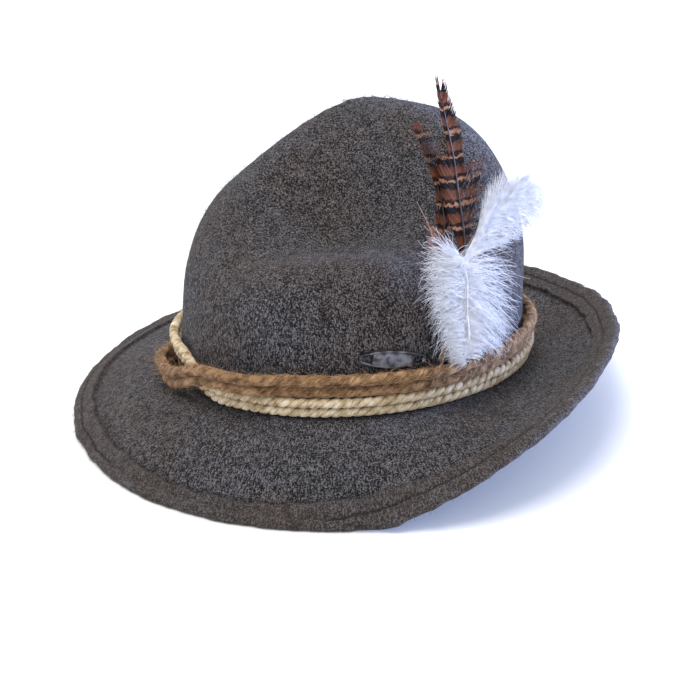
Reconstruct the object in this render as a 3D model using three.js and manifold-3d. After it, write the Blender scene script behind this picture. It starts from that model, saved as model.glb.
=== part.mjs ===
// A grey felt Tyrolean hat with two pairs of cords, a small metal plate and a bunch of feathers.
// Millimetres. X points to the wearer's left, Y to the back and +Z up. The hat rests on Z = 0.
// Directions are degrees around the hat: 0 at the front, 90 at the wearer's left, 180 at the back.
import * as THREE from "three";
import { mergeVertices } from "three/addons/utils/BufferGeometryUtils.js";
import Module from "manifold-3d";

const wasm = await Module();
wasm.setup();

// The felt
const headLength = 197; // inside the head opening, front to back
const headWidth = 163; // inside the head opening, side to side
const feltThickness = 2.6;
const crownHeight = 133; // from the band line to the peak
const crownLeanLeft = 5; // how far the peak stands over to the wearer's left
const crownLeanFront = 5; // and to the front
const brimWidth = 60; // along the felt, from the crown to the edge
const hemWidth = 14; // the edge is turned over onto the brim and sewn down
const hemThickness = 2.2;
const pieceGap = 0.3; // between pieces that touch

// How the hat stands on its turned-down front and on the edge of its brim at the back and right
const bandHeight = 24.3; // middle of the band line above the surface
const leanBack = 5.5; // degrees
const leanRight = 3; // degrees, toward the wearer's right

// The cords that lie round the crown, in two pairs
const paleCordRadius = 2.4;
const juteCordRadius = 2.8;
const cordStagger = 0.3; // how far a pair's upper cord stands out, as a share of its diameter

// The plate on the crown
const plateLength = 33;
const plateWidth = 8.6;
const plateThickness = 1.1;
const plateRim = 0.9; // width of the raised border
const plateRimRise = 0.45;
const plateSlot = 5.2; // length of the hole at each end
const plateDirection = 41.5;
const plateSlope = -7; // degrees, its end at the feathers hangs lower

// The bunch of feathers
const featherDirection = 60;
const quillRadius = 0.9;
const quillEnd = 12; // height of the quills' lower ends over the band line

// How finely the felt and the cords are divided
const feltSteps = 60;
const cordSteps = 56;
const cordSides = 8;

// The crown's top falls away from its peak. turn is the direction that a fall faces, share is its
// depth as a share of the crown's height, and from and to are where it starts and ends, as shares
// of the way from the middle of the crown to its wall.
const crownFalls = [
  { turn: 17, share: 0.43, from: -0.35, to: 0.75 },
  { turn: -90, share: 0.215, from: 0.05, to: 0.75 },
];

// Dents pressed into the top. place, length and breadth are shares of the way to the wall, and
// depth is a share of the crown's height. The second one is the soft lip in front of the scoop.
const crownDents = [
  { turn: 28, place: 0.38, length: 0.27, breadth: 0.5, depth: 0.122 },
  { turn: 28, place: 0.8, length: 0.16, breadth: 3, depth: -0.04 },
];

// How square the shoulder between wall and top is, round the crown
const shoulderFront = 3.8;
const shoulderBack = 2.5;
const shoulderTurn = -20;

// The brim, a row every 30 degrees from the front. edge is the height of its edge above the
// surface, belly is how far its middle hangs below an even curve and breadth is its own width
// there, all as shares of brimWidth.
const brimSections = [
  { edge: -0.17, belly: -0.04, breadth: 0.97 },
  { edge: -0.03, belly: -0.03, breadth: 0.97 },
  { edge: 0.51, belly: -0.05, breadth: 0.99 },
  { edge: 0.755, belly: -0.07, breadth: 0.955 },
  { edge: 0.645, belly: -0.06, breadth: 0.895 },
  { edge: 0.45, belly: -0.05, breadth: 0.985 },
  { edge: 0.34, belly: -0.04, breadth: 1.03 },
  { edge: -0.1, belly: -0.02, breadth: 1.08 },
  { edge: -0.04, belly: -0.02, breadth: 1.1 },
  { edge: -0.06, belly: 0, breadth: 1.045 },
  { edge: -0.04, belly: 0, breadth: 1.03 },
  { edge: -0.1, belly: -0.02, breadth: 1 },
];

// The feathers. A row's up is a share of the feather's length, and shaft, left and right are
// shares of its breadth: where its line runs, and its reach to each side of that line.
const longFeather = {
  length: 145,
  breadth: 25,
  layer: 3.6,
  rows: [
    { up: 0, shaft: -0.05, left: 0, right: 0 },
    { up: 0.08, shaft: -0.04, left: 0, right: 0 },
    { up: 0.16, shaft: 0.02, left: 0, right: 0 },
    { up: 0.24, shaft: 0.16, left: 0, right: 0 },
    { up: 0.43, shaft: 0.32, left: 0, right: 0 },
    { up: 0.46, shaft: 0.31, left: 0.4, right: 0.16 },
    { up: 0.53, shaft: 0.27, left: 0.56, right: 0.32 },
    { up: 0.62, shaft: 0.19, left: 0.46, right: 0.32 },
    { up: 0.7, shaft: 0.1, left: 0.36, right: 0.26 },
    { up: 0.78, shaft: -0.04, left: 0.2, right: 0.19 },
    { up: 0.86, shaft: -0.2, left: 0.16, right: 0.17 },
    { up: 0.94, shaft: -0.38, left: 0.12, right: 0.16 },
    { up: 1, shaft: -0.5, left: 0.05, right: 0.06 },
  ],
};
const shortFeather = {
  length: 124,
  breadth: 15,
  layer: 1.3,
  rows: [
    { up: 0, shaft: -0.6, left: 0, right: 0 },
    { up: 0.16, shaft: -0.6, left: 0, right: 0 },
    { up: 0.28, shaft: -0.52, left: 0, right: 0 },
    { up: 0.62, shaft: -0.45, left: 0, right: 0 },
    { up: 0.7, shaft: -0.55, left: 0.22, right: 0.28 },
    { up: 0.82, shaft: -0.85, left: 0.3, right: 0.36 },
    { up: 0.93, shaft: -1.2, left: 0.3, right: 0.34 },
    { up: 1, shaft: -1.45, left: 0.12, right: 0.16 },
  ],
};
const smallFeather = {
  length: 91,
  breadth: 10,
  layer: 5.9,
  rows: [
    { up: 0, shaft: -0.45, left: 0, right: 0 },
    { up: 0.16, shaft: -0.45, left: 0, right: 0 },
    { up: 0.3, shaft: -0.5, left: 0, right: 0 },
    { up: 0.68, shaft: -0.8, left: 0, right: 0 },
    { up: 0.74, shaft: -0.95, left: 0.42, right: 0.36 },
    { up: 0.82, shaft: -1.3, left: 0.4, right: 0.5 },
    { up: 0.88, shaft: -1.65, left: 0.14, right: 0.2 },
    { up: 1, shaft: -2.3, left: 0, right: 0 },
  ],
};
const curvedQuill = {
  length: 66,
  breadth: 10,
  layer: 5.9,
  rows: [
    { up: 0, shaft: 0.22, left: 0, right: 0 },
    { up: 0.2, shaft: 0.22, left: 0, right: 0 },
    { up: 0.4, shaft: 0.22, left: 0, right: 0 },
    { up: 0.8, shaft: 0.24, left: 0, right: 0 },
    { up: 1, shaft: 0.4, left: 0.2, right: 0.2 },
  ],
};
const fluffyQuill = {
  length: 60,
  breadth: 10,
  layer: 10.6,
  rows: [
    { up: 0, shaft: 0.5, left: 0, right: 0 },
    { up: 0.16, shaft: 0.5, left: 0, right: 0 },
    { up: 0.3, shaft: 0.46, left: 0, right: 0 },
    { up: 0.6, shaft: 0.25, left: 0, right: 0 },
    { up: 1, shaft: 0, left: 0, right: 0 },
  ],
};

// The white feathers' locks, in millimetres along and up from where the feathers are tucked in
const curvedLocks = {
  root: [3, 73],
  width: 11,
  tips: [
    [19, 102],
    [30, 107],
    [40, 107],
    [49, 100],
    [56, 90],
    [56, 78],
    [40, 75],
  ],
};
const fluffyCore = [
  { along: 3, up: 24, left: 5, right: 5, half: 1.2 },
  { along: 2, up: 30, left: 17, right: 12, half: 2.6 },
  { along: 1, up: 42, left: 20, right: 11, half: 3.2 },
  { along: 0, up: 54, left: 18, right: 8, half: 3 },
  { along: -2, up: 65, left: 11, right: 6, half: 2.2 },
  { along: -4, up: 74, left: 4, right: 3, half: 0.8 },
];
const fluffyLocks = {
  width: 8,
  tips: [
    { from: [0, 48], to: [-24, 57] },
    { from: [0, 38], to: [-26, 43] },
    { from: [0, 30], to: [-21, 27] },
    { from: [0, 60], to: [-14, 76] },
    { from: [0, 62], to: [8, 74] },
    { from: [2, 48], to: [28, 53] },
    { from: [2, 42], to: [38, 43] },
    { from: [2, 36], to: [44, 34] },
    { from: [2, 31], to: [34, 26] },
    { from: [0, 54], to: [18, 63] },
  ],
};

const halfLength = headLength / 2 + feltThickness;
const halfWidth = headWidth / 2 + feltThickness;
const { degToRad, radToDeg, smoothstep, lerp } = THREE.MathUtils;

// A closed skin over rings of points. A ring of one point is a pole. With loop, the last ring is
// joined to the first, and otherwise each end ring is closed by its own middle.
function skin(rings, loop = false) {
  const points = [];
  const faces = [];
  const middle = (ring) =>
    ring.reduce((sum, p) => sum.add(p), new THREE.Vector3()).divideScalar(ring.length);
  const all = loop ? [...rings, rings[0]] : [[middle(rings[0])], ...rings, [middle(rings.at(-1))]];
  const place = (p) => points.push(p.x, p.y, p.z) / 3 - 1;
  const triangle = (a, b, c) => {
    const corners = [a, b, c];
    if (a.distanceTo(b) > 1e-6 && b.distanceTo(c) > 1e-6 && c.distanceTo(a) > 1e-6) {
      faces.push(...corners.map(place));
    }
  };
  for (let i = 0; i + 1 < all.length; i += 1) {
    const low = all[i];
    const high = all[i + 1];
    const count = Math.max(low.length, high.length);
    for (let j = 0; j < count; j += 1) {
      const a = low[j % low.length];
      const b = low[(j + 1) % low.length];
      const c = high[(j + 1) % high.length];
      const d = high[j % high.length];
      triangle(a, b, c);
      triangle(a, c, d);
    }
  }
  const geometry = new THREE.BufferGeometry();
  geometry.setAttribute("position", new THREE.Float32BufferAttribute(points, 3));
  geometry.setIndex(faces);
  return facingOut(mergeVertices(geometry, 1e-4));
}

// The same geometry with its faces turned round if they point inwards
function facingOut(geometry) {
  const corner = (i) =>
    new THREE.Vector3().fromBufferAttribute(geometry.attributes.position, geometry.index.getX(i));
  let volume = 0;
  for (let i = 0; i < geometry.index.count; i += 3) {
    volume += corner(i).dot(corner(i + 1).cross(corner(i + 2)));
  }
  if (volume < 0) {
    geometry.setIndex([...geometry.index.array].reverse());
  }
  return geometry;
}

function toSolid(geometry) {
  const bare = new THREE.BufferGeometry();
  bare.setAttribute("position", geometry.getAttribute("position").clone());
  if (geometry.index) {
    bare.setIndex(geometry.index.clone());
  }
  const merged = mergeVertices(bare, 1e-4);
  return new wasm.Manifold(
    new wasm.Mesh({
      numProp: 3,
      vertProperties: new Float32Array(merged.attributes.position.array),
      triVerts: new Uint32Array(merged.index.array),
    }),
  );
}

function toGeometry(solid) {
  const mesh = solid.getMesh();
  const geometry = new THREE.BufferGeometry();
  geometry.setAttribute("position", new THREE.Float32BufferAttribute(mesh.vertProperties, 3));
  geometry.setIndex([...mesh.triVerts]);
  return geometry;
}

// A value between the rows of a table that go evenly round the hat
function roundTable(rows, column, direction) {
  const place = (((direction % 360) + 360) % 360) / (360 / rows.length);
  const row = Math.floor(place);
  const t = place - row;
  const [a, b, c, d] = [-1, 0, 1, 2].map((k) => rows[(row + k + rows.length) % rows.length][column]);
  const slopeStart = (c - a) / 2;
  const slopeEnd = (d - b) / 2;
  return (
    b * (2 * t ** 3 - 3 * t ** 2 + 1) +
    slopeStart * (t ** 3 - 2 * t ** 2 + t) +
    c * (3 * t ** 2 - 2 * t ** 3) +
    slopeEnd * (t ** 3 - t ** 2)
  );
}

// How near a direction is to another, 1 on it and 0 beyond reach degrees from it
function nearness(direction, other, reach) {
  const apart = Math.abs(((((direction - other) % 360) + 540) % 360) - 180);
  return 1 - smoothstep(apart, 0, reach);
}

// The band line: the crown's outline where it meets the brim, grown outwards by out
function bandPoint(direction, out = 0) {
  const turn = degToRad(direction);
  const onLine = new THREE.Vector3(halfWidth * Math.sin(turn), -halfLength * Math.cos(turn), 0);
  return onLine.addScaledVector(bandNormal(direction), out);
}

function bandNormal(direction) {
  const turn = degToRad(direction);
  return new THREE.Vector3(Math.sin(turn) / halfWidth, -Math.cos(turn) / halfLength, 0).normalize();
}

// Height of the surface that the crown's top follows before its shoulder is rounded
function topHeight(x, y) {
  const along = (turn) =>
    (-y / halfLength) * Math.cos(degToRad(turn)) + (x / halfWidth) * Math.sin(degToRad(turn));
  const falls = crownFalls.map(
    (fall) => fall.share * smoothstep(along(fall.turn), fall.from, fall.to),
  );
  const fallen = Math.cbrt(falls.reduce((sum, fall) => sum + fall ** 3, 0));
  const dented = crownDents.reduce((sum, dent) => {
    const ahead = (along(dent.turn) - dent.place) / dent.length;
    const aside = along(dent.turn + 90) / dent.breadth;
    return sum + dent.depth * Math.exp(-(ahead ** 2) - aside ** 2);
  }, 0);
  return crownHeight * (1 - fallen - dented);
}

function shoulder(direction) {
  const front = 0.5 + 0.5 * Math.cos(degToRad(direction - shoulderTurn));
  return lerp(shoulderBack, shoulderFront, front);
}

// The crown leans evenly with its height
function leant(point) {
  point.x += (crownLeanLeft * point.z) / crownHeight;
  point.y -= (crownLeanFront * point.z) / crownHeight;
  return point;
}

// Below 1 inside the crown, 1 on its outer face
function crownLevel(leantX, leantY, z) {
  const x = leantX - (crownLeanLeft * z) / crownHeight;
  const y = leantY + (crownLeanFront * z) / crownHeight;
  const reach = Math.hypot(x / halfWidth, y / halfLength);
  const power = shoulder(radToDeg(Math.atan2(x / halfWidth, -y / halfLength)));
  return reach ** power + (Math.max(z, 0) / topHeight(x, y)) ** power;
}

function crownNormal(p) {
  const d = 0.5;
  return new THREE.Vector3(
    crownLevel(p.x + d, p.y, p.z) - crownLevel(p.x - d, p.y, p.z),
    crownLevel(p.x, p.y + d, p.z) - crownLevel(p.x, p.y - d, p.z),
    crownLevel(p.x, p.y, p.z + d) - crownLevel(p.x, p.y, Math.max(p.z - d, 0)),
  ).normalize();
}

// A point of the crown's outer face. rise goes from 0 at the band line to 1 at the middle.
function crownPoint(direction, rise) {
  const angle = (rise * Math.PI) / 2;
  const power = 2 / shoulder(direction);
  const flat = bandPoint(direction).multiplyScalar(Math.max(Math.cos(angle), 0) ** power);
  flat.z = topHeight(flat.x, flat.y) * Math.sin(angle) ** power;
  return leant(flat);
}

// A point out from the crown's wall, at a height above the band line
function wallPoint(direction, height, out) {
  const power = shoulder(direction);
  const point = bandPoint(direction);
  for (let pass = 0; pass < 4; pass += 1) {
    const share = Math.min(Math.max(height, 0) / topHeight(point.x, point.y), 1);
    point.copy(bandPoint(direction)).multiplyScalar((1 - share ** power) ** (1 / power));
  }
  point.addScaledVector(bandNormal(direction), out);
  point.z = height;
  return leant(point);
}

function crown() {
  const rises = [0, 0.04, 0.1, 0.18, 0.27, 0.36, 0.45, 0.54, 0.63, 0.71, 0.78, 0.85, 0.92];
  const ring = (rise, inset) =>
    Array.from({ length: feltSteps }, (_, k) => {
      const point = crownPoint((360 * k) / feltSteps, rise);
      point.addScaledVector(crownNormal(point), -inset);
      point.z = rise === 0 ? pieceGap : Math.max(point.z, pieceGap);
      return point;
    });
  const pole = (inset) => {
    const point = crownPoint(0, 1);
    return [point.addScaledVector(crownNormal(point), -inset)];
  };
  const outer = rises.map((rise) => ring(rise, 0));
  const inner = rises.map((rise) => ring(rise, feltThickness)).reverse();
  return skin([...outer, pole(0), pole(feltThickness), ...inner].reverse(), true);
}

// The frame that leans with the crown, and everything on it
function leaningFrame() {
  const frame = new THREE.Group();
  frame.rotation.set(-degToRad(leanBack), -degToRad(leanRight), 0);
  frame.position.z = bandHeight;
  frame.updateMatrix();
  return frame;
}

// Height of felt that would hang below the surface it rests on: it lies flat there instead
function settled(height) {
  const bend = 1.5;
  if (height > bend) {
    return height;
  }
  return height < -bend ? 0 : (height + bend) ** 2 / (4 * bend);
}

// A point of the brim's underside, way millimetres out from the crown's wall
function brimUnder(direction, way) {
  const start = bandPoint(direction).applyMatrix4(leaningFrame().matrix);
  start.z -= feltThickness;
  const edge = roundTable(brimSections, "edge", direction) * brimWidth;
  const belly = roundTable(brimSections, "belly", direction) * brimWidth;
  const breadth = roundTable(brimSections, "breadth", direction) * brimWidth;
  const reach = Math.sqrt(breadth ** 2 - (settled(edge) - start.z) ** 2);
  const share = Math.max(way, 0) / brimWidth;
  const height = start.z + (edge - start.z) * share ** 2 + belly * Math.sin(Math.PI * share);
  const out = way < 0 ? way : reach * share;
  const point = start.clone().addScaledVector(bandNormal(direction), out);
  point.z = settled(height);
  return point;
}

function brimNormal(direction, way) {
  const across = brimUnder(direction, way + 1).sub(brimUnder(direction, Math.max(way - 1, 0)));
  const round = brimUnder(direction + 1, way).sub(brimUnder(direction - 1, way));
  return across.cross(round).normalize();
}

// The brim's section, as ways out from the wall and lifts above its underside
function brimProfile() {
  const hemStart = brimWidth - hemWidth;
  const hemTop = feltThickness + hemThickness;
  const open = [0, 0.12, 0.26, 0.4, 0.54, 0.66].map((share) => share * brimWidth);
  const under = [...open, hemStart, hemStart + hemWidth / 2, brimWidth - 1.5];
  const over = [brimWidth - 1.5, hemStart + hemWidth / 2, hemStart];
  return [
    [-feltThickness, 0],
    ...under.map((way) => [way, 0]),
    [brimWidth, hemTop * 0.3],
    [brimWidth, hemTop * 0.7],
    ...over.map((way) => [way, hemTop]),
    [hemStart - 0.8, feltThickness],
    ...open.reverse().map((way) => [way, feltThickness]),
    [-feltThickness, feltThickness],
  ];
}

function brim() {
  const profile = brimProfile();
  const rings = Array.from({ length: feltSteps + 4 }, (_, k) => {
    const direction = (360 * k) / (feltSteps + 4);
    return profile.map(([way, lift]) =>
      brimUnder(direction, way).addScaledVector(brimNormal(direction, way), lift),
    );
  });
  return skin(rings, true);
}

// The cords cross twice, so that the pale pair is the upper one round the wearer's right side.
const cordCrossings = [205, 334];
const crossingReach = 12; // degrees on each side in which the pairs change places
const crossingBow = 26; // degrees on each side in which the jute pair bows out over the pale one

function swapped(direction) {
  const [back, front] = cordCrossings;
  const turned = ((direction % 360) + 360) % 360;
  const rise = smoothstep(turned, back - crossingReach, back + crossingReach);
  return rise - smoothstep(turned, front - crossingReach, front + crossingReach);
}

function bowed(direction) {
  const near = cordCrossings.map((crossing) => nearness(direction, crossing, 2 * crossingBow));
  return smoothstep(Math.max(...near), 0.16, 0.6);
}

// The height and the distance from the wall of one cord's middle, upper or lower in its pair
function cordPlace(kind, upper, direction) {
  const jute = kind === "jute";
  const radius = jute ? juteCordRadius : paleCordRadius;
  const otherRadius = jute ? paleCordRadius : juteCordRadius;
  const share = jute ? 1 - swapped(direction) : swapped(direction);
  const base = radius + pieceGap + share * pairHeight(otherRadius);
  const height = base + (upper ? pairStep(radius) : 0);
  const stagger = upper ? 2 * radius * cordStagger : 0;
  const out = radius + pieceGap + stagger + (jute ? juteBow(direction) : 0);
  return { height, out, radius };
}

// How much higher the upper cord of a pair lies than the lower one
function pairStep(radius) {
  return Math.sqrt((2 * radius + pieceGap) ** 2 - (2 * radius * cordStagger) ** 2);
}

function pairHeight(radius) {
  return 2 * radius + pieceGap + pairStep(radius);
}

// The jute pair bows out over the pale one where they cross, and over the quills tucked behind it
function juteBow(direction) {
  const overPale = (2 * paleCordRadius * (1 + cordStagger) + pieceGap) * bowed(direction);
  const nearFeathers = Math.min(1, 1.4 * nearness(direction, featherDirection, 26));
  const overQuills = (2 * quillRadius + 2 * pieceGap) * nearFeathers;
  return overPale + overQuills;
}

function cord(kind, upper) {
  const rings = Array.from({ length: cordSteps }, (_, k) => {
    const direction = (360 * k) / cordSteps;
    const { height, out, radius } = cordPlace(kind, upper, direction);
    return Array.from({ length: cordSides }, (_, j) => {
      const turn = (2 * Math.PI * j) / cordSides;
      const point = wallPoint(direction, height, out + radius * Math.cos(turn));
      point.z += radius * Math.sin(turn);
      return point;
    });
  });
  return skin(rings, true);
}

// The plate is a pointed oval with a raised border and a hole at each end, bent to the wall.
function plate() {
  const stations = 17;
  const endHeight = plateRim * 1.6;
  const halfHeight = (share) =>
    endHeight + (plateWidth / 2 - endHeight) * Math.sin(Math.PI * share) ** 0.75;
  const middle = cordTop() + pieceGap + plateWidth / 2;
  const arc = bandPoint(plateDirection + 1).distanceTo(bandPoint(plateDirection));
  const across = new THREE.Vector2();
  const onWall = (along, up, lift) => {
    across.set(along, up).rotateAround(new THREE.Vector2(), degToRad(plateSlope));
    return wallPoint(plateDirection + across.x / arc, middle + across.y, pieceGap + lift);
  };
  const rings = Array.from({ length: stations }, (_, k) => {
    const share = k / (stations - 1);
    const along = (share - 0.5) * plateLength;
    const h = halfHeight(share);
    const rim = plateThickness + plateRimRise;
    const section = [
      [-h, 0],
      [-h, rim],
      [-h + plateRim, rim],
      [-h + plateRim * 1.4, plateThickness],
      [h - plateRim * 1.4, plateThickness],
      [h - plateRim, rim],
      [h, rim],
      [h, 0],
    ];
    return section.map(([up, lift]) => onWall(along, up, lift));
  });
  let solid = toSolid(skin(rings));
  for (const side of [-1, 1]) {
    const corners = [
      [0.46, 0.16],
      [-0.5, 0.25],
      [-0.5, -0.25],
      [0.46, -0.16],
    ];
    const outline = (lift) =>
      corners.map(([x, y]) =>
        onWall(side * (plateLength * 0.385 + x * plateSlot), y * plateWidth, lift),
      );
    const above = plateThickness + plateRimRise + 1;
    solid = solid.subtract(toSolid(skin([outline(-1), outline(above)])));
  }
  return toGeometry(solid);
}

// Height of the top of the cords at the front
function cordTop() {
  return pairHeight(paleCordRadius) + pairHeight(juteCordRadius);
}

// A point of the feathers: along and up in millimetres on the plane that touches the crown where
// they are tucked in, and out from the crown. Behind the cords they follow the crown's wall.
function standing(along, up, out) {
  const arc = bandPoint(featherDirection + 1).distanceTo(bandPoint(featherDirection));
  const onWall = wallPoint(featherDirection + along / arc, up, out);
  const tangent = new THREE.Vector3(0, 0, 1).cross(bandNormal(featherDirection));
  const flat = wallPoint(featherDirection, Math.min(up, 45), out).addScaledVector(tangent, along);
  flat.z = up;
  return onWall.lerp(flat, smoothstep(up, cordTop(), cordTop() + 12));
}

// A flat strip along a row of stations with a lens-shaped section. Each station has its place,
// its reach to the left and right of its own line and half its thickness.
function strip(stations) {
  const rings = stations.map((station, k) => {
    const before = stations[Math.max(k - 1, 0)];
    const after = stations[Math.min(k + 1, stations.length - 1)];
    const course = new THREE.Vector2(after.along - before.along, after.up - before.up).normalize();
    const edge = Math.min(station.half, 0.25);
    const at = (side, lift) =>
      standing(station.along + course.y * side, station.up - course.x * side, station.out + lift);
    return [
      at(-station.left, -edge),
      at(-station.left, edge),
      at(0, station.half),
      at(station.right, edge),
      at(station.right, -edge),
      at(0, -station.half),
    ];
  });
  return skin(rings);
}

// How far from the crown a feather lies at a height: its quill is tucked behind the cords
function layered(layer, up) {
  const behindCords = quillRadius + pieceGap;
  return lerp(behindCords, layer, smoothstep(up, cordTop() + 0.5, cordTop() + 13));
}

// A whole feather from its table
function feather({ length, breadth, layer, rows }) {
  return strip(
    rows.map((row) => {
      const up = quillEnd + row.up * length;
      const reach = (share) => Math.max(share * breadth, quillRadius);
      return {
        along: row.shaft * breadth,
        up,
        out: layered(layer, up),
        left: reach(row.left),
        right: reach(row.right),
        half: quillRadius,
      };
    }),
  );
}

// A tapering lock from one place to another, each [along, up]
function lock([fromAlong, fromUp], [toAlong, toUp], layer, width, half) {
  return strip(
    [0, 0.4, 0.75, 1].map((share) => {
      const swell = [0.8, 1, 0.7, 0.12][Math.round(share * 3)];
      return {
        along: lerp(fromAlong, toAlong, share),
        up: lerp(fromUp, toUp, share) + Math.sin(Math.PI * share) * 1.5,
        out: layer,
        left: (width / 2) * swell,
        right: (width / 2) * swell,
        half: half * swell,
      };
    }),
  );
}

function fused(parts) {
  return toGeometry(parts.map(toSolid).reduce((sum, part) => sum.add(part)));
}

function curvedFeather() {
  const { root, tips, width } = curvedLocks;
  const quill = feather(curvedQuill);
  return fused([quill, ...tips.map((tip) => lock(root, tip, curvedQuill.layer, width, 1))]);
}

function fluffyFeather() {
  const { tips, width } = fluffyLocks;
  const core = strip(
    fluffyCore.map((row) => ({
      along: row.along,
      up: row.up,
      out: fluffyQuill.layer,
      left: row.left,
      right: row.right,
      half: row.half,
    })),
  );
  const locks = tips.map(({ from, to }) => lock(from, to, fluffyQuill.layer, width, 1.4));
  return fused([feather(fluffyQuill), core, ...locks]);
}

const materials = {
  felt: new THREE.MeshStandardMaterial({ color: 0x55575c, roughness: 0.95 }),
  jute: new THREE.MeshStandardMaterial({ color: 0xa97b4f, roughness: 0.9 }),
  paleCord: new THREE.MeshStandardMaterial({ color: 0xbcae93, roughness: 0.85 }),
  pewter: new THREE.MeshStandardMaterial({ color: 0x6d6f72, roughness: 0.45, metalness: 0.9 }),
  brownFeather: new THREE.MeshStandardMaterial({ color: 0x6b4a3a, roughness: 0.8 }),
  whiteFeather: new THREE.MeshStandardMaterial({ color: 0xdfe3ea, roughness: 0.9 }),
};

function named(name, geometry, material) {
  const mesh = new THREE.Mesh(geometry, material);
  mesh.name = name;
  return mesh;
}

const group = new THREE.Group();
const leaning = leaningFrame();
leaning.add(named("crown", crown(), materials.felt));
leaning.add(named("jute_cord_upper", cord("jute", true), materials.jute));
leaning.add(named("jute_cord_lower", cord("jute", false), materials.jute));
leaning.add(named("pale_cord_upper", cord("pale", true), materials.paleCord));
leaning.add(named("pale_cord_lower", cord("pale", false), materials.paleCord));
leaning.add(named("plate", plate(), materials.pewter));
leaning.add(named("barred_feather_long", feather(longFeather), materials.brownFeather));
leaning.add(named("barred_feather_short", feather(shortFeather), materials.brownFeather));
leaning.add(named("brown_feather_small", feather(smallFeather), materials.brownFeather));
leaning.add(named("white_feather_curved", curvedFeather(), materials.whiteFeather));
leaning.add(named("white_feather_fluffy", fluffyFeather(), materials.whiteFeather));
group.add(leaning);
group.add(named("brim", brim(), materials.felt));

// The origin is the middle of the hat's outline, on the surface it rests on.
const box = new THREE.Box3().setFromObject(group);
const middle = box.getCenter(new THREE.Vector3());
group.children.forEach((child) => child.position.sub(new THREE.Vector3(middle.x, middle.y, box.min.z)));

export default group;
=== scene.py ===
"""The looks of a grey felt Tyrolean hat: felt with a sewn hem, twisted cords, a metal plate and a
bunch of feathers, laid over the fixed frame of its plain solids. Shapes are worked out in
millimetres and placed in metres."""
import math

import bmesh
import bpy
import numpy as np
from mathutils import Matrix, Vector


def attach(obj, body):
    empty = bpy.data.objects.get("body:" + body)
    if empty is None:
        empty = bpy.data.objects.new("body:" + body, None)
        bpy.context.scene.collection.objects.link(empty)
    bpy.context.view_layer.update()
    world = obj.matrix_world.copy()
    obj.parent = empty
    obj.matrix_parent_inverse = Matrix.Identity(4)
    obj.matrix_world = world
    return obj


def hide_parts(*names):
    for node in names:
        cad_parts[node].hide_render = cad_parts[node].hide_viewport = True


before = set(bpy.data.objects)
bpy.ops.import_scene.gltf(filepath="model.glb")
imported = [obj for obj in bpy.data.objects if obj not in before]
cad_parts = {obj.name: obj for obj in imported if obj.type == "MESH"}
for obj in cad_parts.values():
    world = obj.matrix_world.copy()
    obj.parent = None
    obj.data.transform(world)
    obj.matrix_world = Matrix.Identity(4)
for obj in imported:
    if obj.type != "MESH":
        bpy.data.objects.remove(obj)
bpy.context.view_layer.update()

bl_info = {
    "name": "Felt hat",
    "version": (1, 0, 0),
    "blender": (4, 5, 0),
    "location": "View3D > Sidebar > Felt hat",
    "description": "Dresses a felt hat with its felt, hem, cords, plate and feathers",
    "category": "Object",
}

# The hat's form in millimetres, as its solids have it. Directions are degrees round the hat:
# 0 at the front, 90 at the wearer's left, 180 at the back.
HALF_LENGTH = 101.1
HALF_WIDTH = 84.1
CROWN_HEIGHT = 133
CROWN_LEAN = (5, -5)
BRIM_WIDTH = 60
BAND_HEIGHT = 24.3
LEAN_BACK = 5.5
LEAN_RIGHT = 3
MIDDLE = np.array([-3.3727, 5.9189, 0.0])
PIECE_GAP = 0.3
QUILL_RADIUS = 0.9
JUTE_RADIUS = 2.8
PALE_RADIUS = 2.4
CORD_STAGGER = 0.3
CORD_CROSSINGS = (205, 334)
FEATHER_DIRECTION = 60
CROWN_FALLS = ((17, 0.43, -0.35, 0.75), (-90, 0.215, 0.05, 0.75))
CROWN_DENTS = ((28, 0.38, 0.27, 0.5, 0.122), (28, 0.8, 0.16, 3, -0.04))
BRIM_EDGE = (-0.17, -0.03, 0.51, 0.755, 0.645, 0.45, 0.34, -0.1, -0.04, -0.06, -0.04, -0.1)
BRIM_BELLY = (-0.04, -0.03, -0.05, -0.07, -0.06, -0.05, -0.04, -0.02, -0.02, 0, 0, -0.02)
BRIM_BREADTH = (0.97, 0.97, 0.99, 0.955, 0.895, 0.985, 1.03, 1.08, 1.1, 1.045, 1.03, 1.0)

# What the looks add, in millimetres. Girths scale the maps and space the stitches. A run is a
# length along the brim's section from its inner edge, underneath first: where a mark starts, is
# full, fades and ends. A ply has its way from the cord's middle and its half thickness and half
# breadth, as shares of the cord's radius.
FLANK_DIRECTION = 118
FLANK_REACH = 66
FLANK_FULLNESS = 3.4
CROWN_GIRTH = 580
CROWN_RUN = 190
BRIM_GIRTH = 760  # halfway out
SEAM_GIRTH = 860
CORD_GIRTH = 585
JUTE_PLY = (0.38, 0.6, 0.8)
PALE_PLY = (0.45, 0.56, 0.7)
HEM_RUN = (61, 63, 79.5, 80.5)
# Painted shade: the seam run darkens the bottom of the stitch groove, the crease run the corner at the hem's
# inner edge
SEAM_SHADE_RUN = (72.2, 72.9, 73.2, 73.9)
CREASE_SHADE_RUN = (79.3, 80.4, 81.4, 83.4)
GROOVE_DEPTH = 0.75
HEM_SWELL = 0.35
THREAD_RADIUS = 0.26
PLATE_BEVEL = 0.18
BARB_THICKNESS = 0.18
FELT_HAIR_RADIUS = 0.06
CORD_HAIR_RADIUS = 0.08
HAIR_STATIONS = (0, 0.35, 0.7, 1)
FIBRE_FLOOR = 17

# How far in front of the crown's wall each feather lies, and its shaft in front of its vane
LONG_LAYER = 3.6
SHORT_LAYER = 1.3
SMALL_LAYER = 5.9
CURVED_LAYER = 5.9
FLUFFY_LAYER = 10.9
SHAFT_AHEAD = {"long": 0.3, "short": 0.2, "small": 0.2}


def smooth(value, start, end):
    share = np.clip((value - start) / (end - start), 0, 1)
    return share * share * (3 - 2 * share)


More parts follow.
